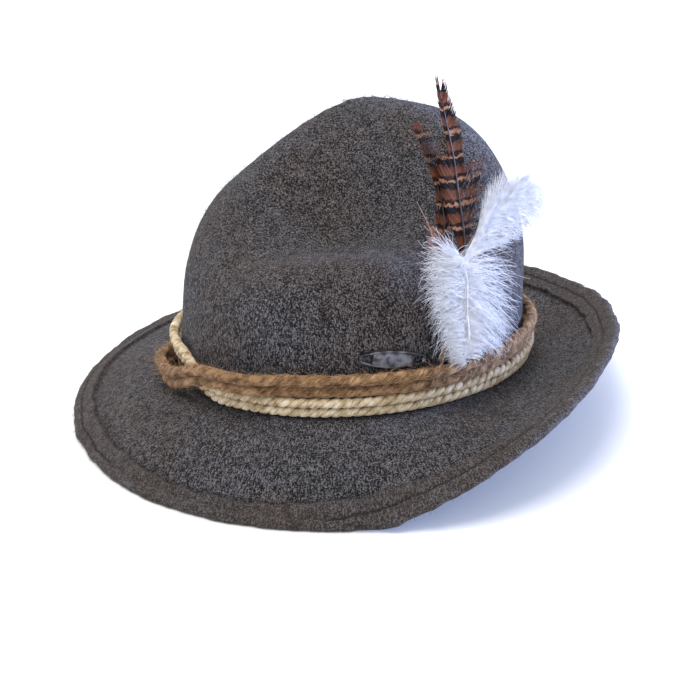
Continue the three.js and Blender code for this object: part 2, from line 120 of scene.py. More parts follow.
def unit(vectors):
    return vectors / np.maximum(np.linalg.norm(vectors, axis=-1, keepdims=True), 1e-12)


def round_table(rows, direction):
    """A value between rows that go evenly round the hat."""
    place = np.mod(direction, 360) / (360 / len(rows))
    row = np.floor(place).astype(int)
    t = place - row
    a, b, c, d = (np.take(rows, row + step, mode="wrap") for step in (-1, 0, 1, 2))
    rise = b * (2 * t**3 - 3 * t**2 + 1) + c * (3 * t**2 - 2 * t**3)
    return rise + (c - a) / 2 * (t**3 - 2 * t**2 + t) + (d - b) / 2 * (t**3 - t**2)


def nearness(direction, other, reach):
    apart = np.abs(np.mod(direction - other + 180, 360) - 180)
    return 1 - smooth(apart, 0, reach)


def band_normal(direction):
    turn = np.radians(direction)
    flat = [np.sin(turn) / HALF_WIDTH, -np.cos(turn) / HALF_LENGTH, turn * 0]
    return unit(np.stack(flat, -1))


def band_point(direction):
    turn = np.radians(direction)
    return np.stack([HALF_WIDTH * np.sin(turn), -HALF_LENGTH * np.cos(turn), turn * 0], -1)


def top_height(x, y):
    def along(turn):
        angle = math.radians(turn)
        return -y / HALF_LENGTH * math.cos(angle) + x / HALF_WIDTH * math.sin(angle)

    falls = [(depth * smooth(along(turn), a, b)) ** 3 for turn, depth, a, b in CROWN_FALLS]
    fallen = np.cbrt(sum(falls))
    dented = sum(
        depth * np.exp(-(((along(turn) - place) / length) ** 2) - (along(turn + 90) / breadth) ** 2)
        for turn, place, length, breadth, depth in CROWN_DENTS
    )
    return CROWN_HEIGHT * (1 - fallen - dented)


def shoulder(direction):
    front = 0.5 + 0.5 * np.cos(np.radians(direction + 20))
    return 2.5 + (3.8 - 2.5) * front


def leant(points):
    lean = points[..., 2:] / CROWN_HEIGHT
    return points + np.concatenate([lean * CROWN_LEAN[0], lean * CROWN_LEAN[1], lean * 0], -1)


def crown_point(direction, rise):
    """A point of the crown's outer face. rise is 0 at the band line and 1 at the middle."""
    angle = rise * np.pi / 2
    power = 2 / shoulder(direction)
    flat = band_point(direction) * (np.maximum(np.cos(angle), 0) ** power)[..., None]
    flat[..., 2] = top_height(flat[..., 0], flat[..., 1]) * np.sin(angle) ** power
    return leant(flat)


def crown_level(points):
    lean = points[..., 2] / CROWN_HEIGHT
    x = points[..., 0] - CROWN_LEAN[0] * lean
    y = points[..., 1] - CROWN_LEAN[1] * lean
    power = shoulder(np.degrees(np.arctan2(x / HALF_WIDTH, -y / HALF_LENGTH)))
    height = np.maximum(points[..., 2], 0) / top_height(x, y)
    return np.hypot(x / HALF_WIDTH, y / HALF_LENGTH) ** power + height**power


def crown_normal(points):
    steps = np.eye(3) * 0.5
    return unit(np.stack([crown_level(points + s) - crown_level(points - s) for s in steps], -1))


def wall_point(direction, height, out):
    """A point out from the crown's wall, at a height above the band line."""
    given = (np.asarray(value, float) for value in (direction, height, out))
    direction, height, out = np.broadcast_arrays(*given)
    power = shoulder(direction)
    band = band_point(direction)
    points = band
    for _ in range(4):
        share = np.clip(height / top_height(points[..., 0], points[..., 1]), 0, 1)
        points = band * ((1 - share**power) ** (1 / power))[..., None]
    points = points + band_normal(direction) * out[..., None]
    points[..., 2] = height
    return leant(points)


def tipped(points):
    """From the crown's own frame to the frame of the surface that the hat stands on."""
    back = Matrix.Rotation(math.radians(-LEAN_BACK), 3, "X")
    right = Matrix.Rotation(math.radians(-LEAN_RIGHT), 3, "Y")
    return points @ np.array(back @ right).T + (0, 0, BAND_HEIGHT)


def placed(points):
    return (points - MIDDLE) / 1000


def settled(height):
    bend = 1.5
    lower = np.where(height < -bend, 0, (height + bend) ** 2 / (4 * bend))
    return np.where(height > bend, height, lower)


def brim_under(direction, way, felt):
    """A point of the brim's underside, way millimetres out from the crown's wall."""
    start = tipped(band_point(direction)) - (0, 0, felt)
    edge = round_table(BRIM_EDGE, direction) * BRIM_WIDTH
    belly = round_table(BRIM_BELLY, direction) * BRIM_WIDTH
    breadth = round_table(BRIM_BREADTH, direction) * BRIM_WIDTH
    reach = np.sqrt(breadth**2 - (settled(edge) - start[..., 2]) ** 2)
    share = np.maximum(way, 0) / BRIM_WIDTH
    height = start[..., 2] + (edge - start[..., 2]) * share**2 + belly * np.sin(np.pi * share)
    out = np.where(way < 0, way, reach * share)
    points = start + band_normal(direction) * out[..., None]
    points[..., 2] = settled(height)
    return points


def brim_normal(direction, way, felt):
    across = brim_under(direction, way + 1, felt) - brim_under(direction, np.maximum(way - 1, 0), felt)
    around = brim_under(direction + 1, way, felt) - brim_under(direction - 1, way, felt)
    return unit(np.cross(across, around))


def pair_step(radius):
    return math.sqrt((2 * radius + PIECE_GAP) ** 2 - (2 * radius * CORD_STAGGER) ** 2)


def pair_height(radius):
    return 2 * radius + PIECE_GAP + pair_step(radius)


CORD_TOP = pair_height(PALE_RADIUS) + pair_height(JUTE_RADIUS)


def cord_place(jute, upper, direction):
    """Height and distance from the wall of one cord's middle."""
    back, front = CORD_CROSSINGS
    turned = np.mod(direction, 360)
    swapped = smooth(turned, back - 12, back + 12) - smooth(turned, front - 12, front + 12)
    radius, other = (JUTE_RADIUS, PALE_RADIUS) if jute else (PALE_RADIUS, JUTE_RADIUS)
    share = 1 - swapped if jute else swapped
    height = radius + PIECE_GAP + share * pair_height(other) + (pair_step(radius) if upper else 0)
    out = radius + PIECE_GAP + (2 * radius * CORD_STAGGER if upper else 0)
    if jute:
        near = np.maximum(nearness(direction, back, 52), nearness(direction, front, 52))
        bowed = smooth(near, 0.16, 0.6)
        quills = np.minimum(1, 1.4 * nearness(direction, FEATHER_DIRECTION, 26))
        out = out + (2 * PALE_RADIUS * (1 + CORD_STAGGER) + PIECE_GAP) * bowed
        out = out + (2 * QUILL_RADIUS + 2 * PIECE_GAP) * quills
    return height, out + 0 * direction


def standing(along, up, out):
    """A point of the feathers: along and up on the plane that touches the crown where they are
    tucked in, and out from it. Behind the cords they follow the crown's wall."""
    along, up, out = np.broadcast_arrays(*(np.asarray(value, float) for value in (along, up, out)))
    middle = np.array(float(FEATHER_DIRECTION))
    arc = np.linalg.norm(band_point(middle + 1) - band_point(middle))
    on_wall = wall_point(FEATHER_DIRECTION + along / arc, up, out)
    tangent = np.cross((0, 0, 1), band_normal(middle))
    flat = wall_point(FEATHER_DIRECTION + 0 * up, np.minimum(up, 45), out) + tangent * along[..., None]
    flat[..., 2] = up
    free = smooth(up, CORD_TOP, CORD_TOP + 12)[..., None]
    return placed(tipped(on_wall + (flat - on_wall) * free))


def layered(layer, up):
    """A quill lies behind the cords and its vane in front of the crown."""
    behind = QUILL_RADIUS + PIECE_GAP
    return behind + (layer - behind) * smooth(up, CORD_TOP + 0.5, CORD_TOP + 13)


# Meshes


def to_piece(made, finish, nodes=()):
    """Links a finished mesh or curve as a piece of the hat, by its name."""
    piece = bpy.data.objects.new(made.name, made)
    made.materials.append(finish)
    bpy.context.scene.collection.objects.link(piece)
    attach(piece, "root")
    if nodes:
        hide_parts(*nodes)
    return piece


def to_mesh(bm, name):
    mesh = bpy.data.meshes.new(name)
    bm.to_mesh(mesh)
    bm.free()
    mesh.shade_smooth()
    return mesh


def bent_grid(columns, rows, shape):
    """A grid bent to shape, which takes each corner's two shares and gives its place and its UV.
    Edges and poles that meet are closed."""
    bm = bmesh.new()
    bmesh.ops.create_grid(bm, x_segments=columns, y_segments=rows, size=0.5)
    bm.verts.index_update()
    shares = np.array([vert.co[:2] for vert in bm.verts]) + 0.5
    points, uvs = shape(shares[:, 0], shares[:, 1])
    layer = bm.loops.layers.uv.new("surface")
    for vert, point in zip(bm.verts, points):
        vert.co = point
    for face in bm.faces:
        for loop in face.loops:
            loop[layer].uv = uvs[loop.vert.index]
    bmesh.ops.remove_doubles(bm, verts=bm.verts, dist=2e-6)
    bmesh.ops.recalc_face_normals(bm, faces=bm.faces)
    return bm


def ribbons(lines, sides, uvs, thickness):
    """Many thin closed strips. lines and sides are arrays of strips by stations, in metres:
    a strip's middle, and the step from there to its edge."""
    count, stations = lines.shape[:2]
    bm = bmesh.new()
    bmesh.ops.create_grid(bm, x_segments=stations - 1, y_segments=2 * count - 1, size=0.5)
    bm.verts.index_update()
    between = [f for f in bm.faces if int((f.calc_center_median().y + 0.5) * (2 * count - 1)) % 2]
    bmesh.ops.delete(bm, geom=between, context="FACES_ONLY")
    loose = [e for e in bm.edges if not e.link_faces]
    bmesh.ops.delete(bm, geom=loose, context="EDGES")
    layer = bm.loops.layers.uv.new("surface")
    for vert in bm.verts:
        station = round((vert.co.x + 0.5) * (stations - 1))
        row = round((vert.co.y + 0.5) * (2 * count - 1))
        side = sides[row // 2, station] * (2 * (row % 2) - 1)
        vert.co = lines[row // 2, station] + side
        for loop in vert.link_loops:
            loop[layer].uv = uvs[row // 2, station]
    bmesh.ops.recalc_face_normals(bm, faces=bm.faces)
    bmesh.ops.solidify(bm, geom=bm.faces[:] + bm.edges[:] + bm.verts[:], thickness=thickness)
    return bm


def strands(name, lines, radius, tapers=(1.0, 0.3)):
    """Thin tapering fibres, one poly spline a line. The radius is in millimetres."""
    curve = bpy.data.curves.new(name, "CURVE")
    curve.dimensions = "3D"
    curve.bevel_depth = radius / 1000
    curve.bevel_resolution = 0
    curve.use_fill_caps = True
    for line in lines:
        spline = curve.splines.new("POLY")
        spline.points.add(len(line) - 1)
        spline.points.foreach_set("co", np.c_[line, np.ones(len(line))].ravel())
        spline.points.foreach_set("radius", np.linspace(*tapers, len(line)))
    return curve


# Materials


def shade(code):
    """The linear colour of a screen colour such as 8f6f4d."""
    parts = [int(code[i : i + 2], 16) / 255 for i in (0, 2, 4)]
    return tuple(p / 12.92 if p <= 0.04045 else ((p + 0.055) / 1.055) ** 2.4 for p in parts)


class Value:
    """A socket's value, which expressions calculate with."""

    def __init__(self, finish, socket):
        self.finish = finish
        self.socket = socket

    def math(self, operation, *values):
        node = self.finish.node("ShaderNodeMath", {"operation": operation}, dict(enumerate(values)))
        return Value(self.finish, node.outputs[0])

    def __add__(self, other):
        return self.math("ADD", self, other)

    def __sub__(self, other):
        return self.math("SUBTRACT", self, other)

    def __mul__(self, other):
        return self.math("MULTIPLY", self, other)

    def __truediv__(self, other):
        return self.math("DIVIDE", self, other)

    def __rsub__(self, other):
        return self.math("SUBTRACT", other, self)

    def __rtruediv__(self, other):
        return self.math("DIVIDE", other, self)

    __radd__ = __add__
    __rmul__ = __mul__

    def most(self, other):
        return self.math("MAXIMUM", self, other)

    def part(self):
        return self.math("FRACT", self)

    def between(self, start, end):
        """0 below start, 1 above end, smooth between. start may be the higher one."""
        settings = {"interpolation_type": "SMOOTHSTEP"}
        low, high, first, last = (start, end, 0.0, 1.0) if start < end else (end, start, 1.0, 0.0)
        sockets = {"Value": self, "From Min": low, "From Max": high, "To Min": first, "To Max": last}
        return Value(self.finish, self.finish.node("ShaderNodeMapRange", settings, sockets).outputs[0])

    def within(self, start, full, fading, end):
        """1 from full to fading, 0 below start and above end."""
        return self.between(start, full) * self.between(end, fading)


class Finish:
    """A material being made."""

    def __init__(self, name, **constants):
        self.material = bpy.data.materials.new(name)
        self.material.use_nodes = True
        self.tree = self.material.node_tree
        self.skin = self.tree.nodes["Principled BSDF"]
        for socket, value in constants.items():
            self.skin.inputs[socket.replace("_", " ")].default_value = value

    def node(self, kind, settings, sockets):
        node = self.tree.nodes.new(kind)
        for name, value in settings.items():
            if name == "stops":
                ramp = node.color_ramp
                while len(ramp.elements) < len(value):
                    ramp.elements.new(1.0)
                for element, (place, colour) in zip(ramp.elements, value):
                    element.position = place
                    element.color = (*colour, 1)
            else:
                setattr(node, name, value)
        enabled = {socket.name: socket for socket in node.inputs if socket.enabled}
        for name, value in sockets.items():
            socket = node.inputs[name] if isinstance(name, int) else enabled[name]
            if isinstance(value, Value):
                self.tree.links.new(value.socket, socket)
            elif socket.type == "RGBA":
                socket.default_value = (*value, 1)
            else:
                socket.default_value = value
        return node

    def value(self, kind, settings, sockets, output=0):
        outputs = [socket for socket in self.node(kind, settings, sockets).outputs if socket.enabled]
        return Value(self, outputs[output])

    def place(self, stretch=(1, 1, 1), turn=(0, 0, 0), uv=False):
        """Millimetres on the object, or on its own map, turned and stretched."""
        kind = ("ShaderNodeUVMap", {"uv_map": "surface"}) if uv else ("ShaderNodeTexCoord", {})
        node = self.node(*kind, {})
        source = Value(self, node.outputs["UV" if uv else "Object"])
        size = 1 if uv else 1000
        turned = {"Vector": source, "Rotation": tuple(math.radians(a) for a in turn)}
        source = self.value("ShaderNodeMapping", {"vector_type": "POINT"}, turned)
        scaled = {0: source, 1: tuple(size * s for s in stretch)}
        return self.value("ShaderNodeVectorMath", {"operation": "MULTIPLY"}, scaled)

    def noise(self, place, detail=2.0, roughness=0.5):
        sockets = {"Vector": place, "Scale": 1.0, "Detail": detail, "Roughness": roughness}
        return self.value("ShaderNodeTexNoise", {}, sockets)

    def mix(self, factor, first, second, blend="MIX"):
        settings = {"data_type": "RGBA", "blend_type": blend}
        return self.value("ShaderNodeMix", settings, {"Factor": factor, "A": first, "B": second})

    def ramp(self, value, *stops):
        return self.value("ShaderNodeValToRGB", {"stops": stops}, {0: value})

    def axis(self, place, number):
        return self.value("ShaderNodeSeparateXYZ", {}, {0: place}, number)

    def close(self, colour, roughness, height, relief):
        """relief is the bump's height in millimetres."""
        sockets = {"Height": height, "Distance": relief / 1000, "Strength": 1.0}
        bump = self.value("ShaderNodeBump", {}, sockets)
        for name, value in (("Base Color", colour), ("Roughness", roughness), ("Normal", bump)):
            if isinstance(value, Value):
                self.tree.links.new(value.socket, self.skin.inputs[name])
            else:
                self.skin.inputs[name].default_value = value
        return self.material


def felt_finish(name, settings, radial):
    """Melange wool felt: light and dark fibres over mottled grey. Radial felt has its fibres along
    the brim's section, and the marks of the hem: a browner tone, and painted shade in the stitch
    groove and in the corner at the hem's inner edge."""
    felt = Finish(name, Sheen_Weight=0.06, Sheen_Roughness=0.5, Specular_IOR_Level=0.15)
    drawn = felt.place((1.4, 0.34, 1), uv=True) if radial else felt.place((1.35, 1.35, 0.42))
    fibre = felt.noise(drawn, 3, 0.7)
    tangle = felt.noise(felt.place((1.6, 0.8, 1.6), (25, 15, 40)), 3, 0.7)
    mottle = felt.noise(felt.place((0.2, 0.2, 0.12)), 3, 0.6)
    cloud = felt.noise(felt.place((0.022, 0.022, 0.022)), 2)
    grain = fibre * 0.75 + tangle * 0.75 + mottle * 0.22 - 0.36
    stops = ((0.42, settings.felt_dark), (0.505, settings.felt_mid), (0.585, settings.felt_light))
    colour = felt.ramp(grain, *stops)
    fine = felt.noise(felt.place((1.7, 1.7, 0.7)), 2)
    colour = felt.mix(fine.between(0.58, 0.66) * 0.75, colour, settings.fibre_light)
    colour = felt.mix(fine.between(0.4, 0.3) * 0.5, colour, settings.dark_fibre_and_groove_shade)
    colour = felt.mix(cloud.between(0.6, 0.42), colour, settings.felt_warm, "MULTIPLY")
    if radial:
        along = felt.axis(felt.place(uv=True), 1)
        hem = along.within(*HEM_RUN)
        colour = felt.mix(hem * 0.4, colour, settings.hem_tint)
        # Painted shade along the bottom of the stitch groove and in the corner at the hem's inner edge, in
        # the dark fibres' colour
        lines = along.within(*SEAM_SHADE_RUN).most(along.within(*CREASE_SHADE_RUN) * 0.7)
        colour = felt.mix(lines * 0.75, colour, settings.dark_fibre_and_groove_shade)
    return felt.close(colour, 0.95, grain + fine * 0.4, 0.8)


def twist_finish(name, settings, jute):
    """Fibres that run along each ply, in lighter and darker patches."""
    cord = Finish(name, Sheen_Weight=0.2, Sheen_Roughness=0.4, Specular_IOR_Level=0.2)
    fibre = cord.noise(cord.place((0.2, 1.5, 1), uv=True), 4, 0.75)
    patch = cord.noise(cord.place((0.2, 0.2, 0.2)), 3)
    if jute:
        stops = ((0.3, settings.jute_dark), (0.5, settings.jute_mid), (0.72, settings.jute_light))
    else:
        stops = ((0.28, settings.pale_dark), (0.46, settings.pale_mid), (0.68, settings.pale_light))
    colour = cord.ramp(fibre + (patch - 0.5) * 0.8, *stops)
    return cord.close(colour, 0.85, fibre, 0.9 if jute else 0.45)


def pewter_finish():
    metal = Finish("darkened_pewter", Metallic=1.0)
    wear = metal.noise(metal.place((0.3, 0.3, 0.3)), 3, 0.5)
    fine = metal.noise(metal.place((5, 5, 5)), 2)
    colour = metal.mix(wear.between(0.35, 0.65), shade("403f44"), shade("7a7a80"))
    return metal.close(colour, wear * 0.3 + 0.2, wear + fine * 0.1, 0.06)


# One repeat of the feathers' pattern: a pale bar, a dark one and a brown one, edged with dark
BARS = (
    (0.0, "1a100e"), (0.24, "1d1210"), (0.28, "b98a6c"), (0.37, "ab7a5c"), (0.41, "23140f"),
    (0.53, "2a1812"), (0.59, "7c4a34"), (0.95, "643c2b"), (1.0, "1a100e"),
)


def barred_finish(name, settings):
    """Bars across the shaft, with the map's first value running up it."""
    vane = Finish(name, Specular_IOR_Level=0.12)
    place = vane.place(uv=True)
    sway = vane.noise(vane.place((0.34, 0.34, 0.34)), 2)
    barb = vane.noise(vane.place((2.4, 0.12, 1), uv=True), 2)
    up = vane.axis(place, 0) + (sway - 0.5) * 5 + (barb - 0.5) * 2.6
    bar = (up / settings.bar_repeat).part()
    stops = [(start, shade(code)) for start, code in BARS]
    speck = vane.noise(vane.place((1.5, 1.5, 1.5)), 3, 0.7)
    colour = vane.mix(speck.between(0.52, 0.66) * 0.7, vane.ramp(bar, *stops), shade("2a1a17"))
    return vane.close(colour, 0.75, speck, 0.1)


def plain_finish(name, first, second, roughness=0.6, size=0.6, **constants):
    plain = Finish(name, **constants)
    patch = plain.noise(plain.place((size, size, size)), 2)
    return plain.close(plain.mix(patch.between(0.35, 0.65), first, second), roughness, patch, 0.05)


# Settings


def colour_property(name, text, code):
    return bpy.props.FloatVectorProperty(
        name=name, description=text, subtype="COLOR", size=3, min=0, max=1, default=shade(code)
    )


def length_property(name, text, millimetres):
    return bpy.props.FloatProperty(
        name=name, description=text, unit="LENGTH", subtype="DISTANCE", min=0, default=millimetres / 1000
    )


class HatSettings(bpy.types.PropertyGroup):
    felt: length_property("Felt", "Thickness of the felt", 2.6)
    hem_width: length_property("Hem width", "Width of the edge that is turned over", 14)
    hem_rise: length_property("Hem rise", "Thickness of the turned-over felt", 2.2)
    stitch_inset: length_property("Stitch inset", "Way from the brim's edge to the stitches", 7.7)
    stitch_length: length_property("Stitch length", "Length of one stitch", 8.2)
    stitch_repeat: length_property("Stitch repeat", "Way from one stitch to the next", 9.5)
    jute_twist: length_property("Brown twist", "Length of one full turn of the brown cords", 19)
    pale_twist: length_property("Pale twist", "Length of one full turn of the pale cords", 10.4)
    bar_repeat: bpy.props.FloatProperty(
        name="Bar repeat", description="Millimetres from one feather bar to the next", default=11.4, min=1
    )
    felt_hairs: bpy.props.IntProperty(
        name="Felt hairs", description="Loose hairs on crown and brim, each", default=4700, min=0
    )
    cord_hairs: bpy.props.IntProperty(
        name="Cord hairs", description="Loose hairs on each brown cord", default=2680, min=0
    )
    felt_dark: colour_property("Felt dark", "Darker grey of the felt", "0f0e10")
    felt_mid: colour_property("Felt", "Grey of the felt", "27272b")
    felt_light: colour_property("Felt light", "Lighter grey of the felt", "69676d")
    felt_warm: colour_property("Felt warm", "Brownish cast of parts of the felt", "fff3ea")
    fibre_light: colour_property("Light fibres", "Light fibres in the felt", "949092")
    # The dark fibres' colour also paints shade along the brim's stitch groove and at the hem's inner edge
    dark_fibre_and_groove_shade: colour_property("Dark fibres", "Dark fibres in the felt", "1a191c")
    hem_tint: colour_property("Hem", "Brownish grey of the hem", "4d433c")
    thread: colour_property("Thread", "Sewing thread of the hem", "121113")
    jute_dark: colour_property("Jute dark", "Shade of the brown cords", "3c2919")
    jute_mid: colour_property("Jute", "Colour of the brown cords", "8a6746")
    jute_light: colour_property("Jute light", "Light fibres of the brown cords", "c9a47c")
    pale_dark: colour_property("Pale dark", "Shade of the pale cords", "7d6b50")
    pale_mid: colour_property("Pale", "Colour of the pale cords", "cbb48d")
    pale_light: colour_property("Pale light", "Light fibres of the pale cords", "f3e6cc")


# Pieces


def hem_rows(settings):
    """The brim's section as ways out from the wall, lifts above its underside and the length run
    along it, closed on itself."""
    felt = settings.felt * 1000
    top = felt + settings.hem_rise * 1000
    inner = BRIM_WIDTH - settings.hem_width * 1000
    round_edge = top / 2
    turn = np.radians(np.linspace(-90, 90, 11)[1:-1])
    under = np.c_[np.linspace(-felt, BRIM_WIDTH - round_edge, 22), np.zeros(22)]
    fold = np.c_[BRIM_WIDTH - round_edge + round_edge * np.cos(turn), round_edge + round_edge * np.sin(turn)]
    way = np.linspace(BRIM_WIDTH - round_edge, inner + 0.6, 30)
    groove = GROOVE_DEPTH * np.exp(-(((way - BRIM_WIDTH + settings.stitch_inset * 1000) / 0.9) ** 2))
    swell = HEM_SWELL * np.sin(np.pi * (way - inner) / (BRIM_WIDTH - inner))
    hem = np.c_[way, top + swell - groove]
    step = np.c_[[inner + 0.15, inner, inner - 0.15, inner - 0.9], [top - 0.2, top - 0.7, felt + 0.5, felt]]
    over = np.c_[np.linspace(inner - 3, -felt, 20), np.full(20, felt)]
    rows = np.vstack([under, fold, hem, step, over, under[:1]])
    run = np.r_[0, np.cumsum(np.hypot(*np.diff(rows, axis=0).T))]
    return rows, run


def wave(direction, seed, turns=(3, 5, 9, 14, 23, 37)):
    """An uneven line round the hat, about 1 high at most."""
    phases = np.random.default_rng(seed).uniform(0, 2 * np.pi, len(turns))
    waves = [np.sin(np.radians(direction) * turn + phase) for turn, phase in zip(turns, phases)]
    return sum(waves) / len(turns) ** 0.5


class HAT_OT_crown(bpy.types.Operator):
    """Makes the blocked felt crown"""

    bl_idname = "hat.crown"
    bl_label = "Crown"

    def execute(self, context):
        settings = context.scene.hat

        def shape(round_share, rise):
            direction = round_share * 360
            points = crown_point(direction, rise * 0.998 + 0.001)
            uneven = wave(direction, 3) * np.sin(points[:, 2] / 17) + np.sin(points[:, 2] / 9 + 2)
            points = points + crown_normal(points) * (0.22 * uneven * smooth(rise, 0.02, 0.2))[:, None]
            full = nearness(direction, FLANK_DIRECTION, FLANK_REACH)
            full = full * smooth(rise, 0.06, 0.3) * (1 - smooth(rise, 0.62, 0.95))
            points = points + crown_normal(points) * (FLANK_FULLNESS * full)[:, None]
            points[rise < 1e-6, 2] = 0
            top = rise > 1 - 1e-6
            points[top] = points[top].mean(axis=0)
            return placed(tipped(points)), np.c_[round_share * CROWN_GIRTH, rise * CROWN_RUN]

        bm = bent_grid(240, 72, shape)
        finish = felt_finish("crown_felt", settings, False)
        piece = to_piece(to_mesh(bm, "crown_felt"), finish, ["crown"])
        wall = piece.modifiers.new("felt", "SOLIDIFY")
        wall.thickness = settings.felt
        wall.offset = -1
        return {"FINISHED"}


class HAT_OT_brim(bpy.types.Operator):
    """Makes the felt brim with its edge turned over onto it"""

    bl_idname = "hat.brim"
    bl_label = "Brim"

    def execute(self, context):
        settings = context.scene.hat
        felt = settings.felt * 1000
        rows, run = hem_rows(settings)

        def shape(round_share, section_share):
            direction = round_share * 360
            row = np.rint(section_share * (len(rows) - 1)).astype(int)
            way, lift = rows[row].T
            near_edge = smooth(way, 40, 58)
            uneven = 0.45 * wave(direction, 11) + 0.3 * wave(direction, 12, (31, 47, 71, 113))
            way = way + near_edge * uneven
            inner = np.exp(-(((way - BRIM_WIDTH + settings.hem_width * 1000) / 1.5) ** 2)) * (lift > 0.5)
            way = way + 0.5 * inner * wave(direction, 13, (17, 29, 43, 61))
            under = brim_under(direction, way, felt)
            points = under + brim_normal(direction, way, felt) * lift[:, None]
            return placed(points), np.c_[round_share * BRIM_GIRTH, run[row]]

        bm = bent_grid(480, len(rows) - 1, shape)
        finish = felt_finish("brim_felt", settings, True)
        to_piece(to_mesh(bm, "brim_felt"), finish, ["brim"])
        return {"FINISHED"}


class HAT_OT_stitches(bpy.types.Operator):
    """Sews the hem down with a running stitch"""

    bl_idname = "hat.stitches"
    bl_label = "Stitches"

    def execute(self, context):
        settings = context.scene.hat
        felt = settings.felt * 1000
        way = BRIM_WIDTH - settings.stitch_inset * 1000
        lift = felt + settings.hem_rise * 1000 - 0.25
        count = int(SEAM_GIRTH / (settings.stitch_repeat * 1000))
        reach = settings.stitch_length * 1000 / SEAM_GIRTH * 360 / 2
        lines = []
        for middle in np.arange(count) * 360 / count:
            direction = middle + np.linspace(-reach, reach, 6)
            sunk = -0.7 * np.abs(np.linspace(-1, 1, 6)) ** 4
            ways = np.full(6, way) + 0.15 * wave(direction, 21)
            points = brim_under(direction, ways, felt)
            points = points + brim_normal(direction, ways, felt) * (lift + sunk)[:, None]
            lines.append(placed(points))
        curve = strands("hem_stitches", lines, THREAD_RADIUS, (1, 1))
        to_piece(curve, plain_finish("thread", settings.thread, shade("201e21")))
        return {"FINISHED"}


class HAT_OT_cords(bpy.types.Operator):
    """Twists the two brown and the two pale cords round the crown"""

    bl_idname = "hat.cords"
    bl_label = "Cords"

    def execute(self, context):
        settings = context.scene.hat
        for jute in (True, False):
            kind = "jute" if jute else "pale"
            radius = JUTE_RADIUS if jute else PALE_RADIUS
            finish = twist_finish(kind + "_twist", settings, jute)
            turns = round(CORD_GIRTH / ((settings.jute_twist if jute else settings.pale_twist) * 1000))
            for upper in (True, False):
                level = "upper" if upper else "lower"
                for ply in range(2):
                    bm = self.ply(jute, upper, radius, turns, ply)
                    name = f"{kind}_cord_{level}_ply_{ply + 1}"
                    nodes = [f"{kind}_cord_{level}"] if ply == 0 else []
                    to_piece(to_mesh(bm, name), finish, nodes)
        return {"FINISHED"}

    def ply(self, jute, upper, radius, turns, number):
        apart, thick, broad = JUTE_PLY if jute else PALE_PLY

        def middle(direction):
            height, out = cord_place(jute, upper, direction)
            base = wall_point(direction, height, out)
            twist = np.radians(direction) * turns + np.pi * number
            reach = radius * apart
            aside = band_normal(direction) * (reach * np.cos(twist))[:, None]
            aside[:, 2] += reach * np.sin(twist)
            return base + aside, aside

        def shape(round_share, side_share):
            direction = round_share * 360
            points, aside = middle(direction)
            ahead = unit(middle(direction + 0.05)[0] - middle(direction - 0.05)[0])
            outward = unit(aside - ahead * np.sum(aside * ahead, -1, keepdims=True))
            sideways = np.cross(ahead, outward)
            turn = side_share * 2 * np.pi
            uneven = radius * (1 + 0.06 * wave(direction, 31 + number, (41, 67, 97, 131)))
            points = points + outward * (thick * uneven * np.cos(turn))[:, None]
            points = points + sideways * (broad * uneven * np.sin(turn))[:, None]
            length = round_share * CORD_GIRTH * 1.2
            return placed(tipped(points)), np.c_[length, side_share * 12 + length * 0.15]

        return bent_grid(max(turns * 14, 600), 10, shape)


class HAT_OT_plate(bpy.types.Operator):
    """Gives the plate its softened edges and darkened metal"""

    bl_idname = "hat.plate"
    bl_label = "Plate"

    def execute(self, context):
        bm = bmesh.new()
        bm.from_mesh(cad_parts["plate"].data)
        bmesh.ops.remove_doubles(bm, verts=bm.verts, dist=1e-6)
        bmesh.ops.dissolve_limit(bm, angle_limit=0.02, verts=bm.verts, edges=bm.edges)
        for layer in bm.loops.layers.uv[:]:
            bm.loops.layers.uv.remove(layer)
        mesh = to_mesh(bm, "pewter_plate")
        mesh.materials.clear()
        piece = to_piece(mesh, pewter_finish(), ["plate"])
        edges = piece.modifiers.new("edges", "BEVEL")
        edges.width = PLATE_BEVEL / 1000
        edges.segments = 2
        edges.limit_method = "ANGLE"
        edges.angle_limit = math.radians(28)
        return {"FINISHED"}


def smoothed(values, reach):
    """Values that each become a soft mean of their neighbours, with steady ends."""
    window = np.hanning(2 * reach + 3)[1:-1]
    padded = np.pad(values, reach, mode="reflect", reflect_type="odd")
    return np.convolve(padded, window / window.sum(), mode="valid")


def shaft_line(points):
    """The place of a feather's shaft at any height, through a few [along, up] points."""
    along, up = np.array(points, float).T
    fine = np.linspace(up[0], up[-1], 200)
    line = smoothed(np.interp(fine, up, along), 12)
    return lambda height: np.interp(height, fine, line)


def arch(points, count):
    """Evenly spaced points along a smooth line through a few [along, up] points."""
    points = np.array(points, float)
    run = np.r_[0, np.cumsum(np.hypot(*np.diff(points, axis=0).T))]
    fine = np.linspace(0, run[-1], 400)
    lines = [smoothed(np.interp(fine, run, axis), 20) for axis in points.T]
    places = np.linspace(0, len(fine) - 1, count)
    return np.stack([np.interp(places, np.arange(len(fine)), line) for line in lines], -1)


def quill(name, line, heights, layer, radii, finish, nodes=()):
    ups = np.linspace(*heights, 60)
    points = standing(line(ups), ups, layered(layer, ups))
    curve = strands(name, [points], 1, (1, 1))
    curve.bevel_resolution = 2
    curve.splines[0].points.foreach_set("radius", np.interp(ups, *radii))
    return to_piece(curve, finish, nodes)


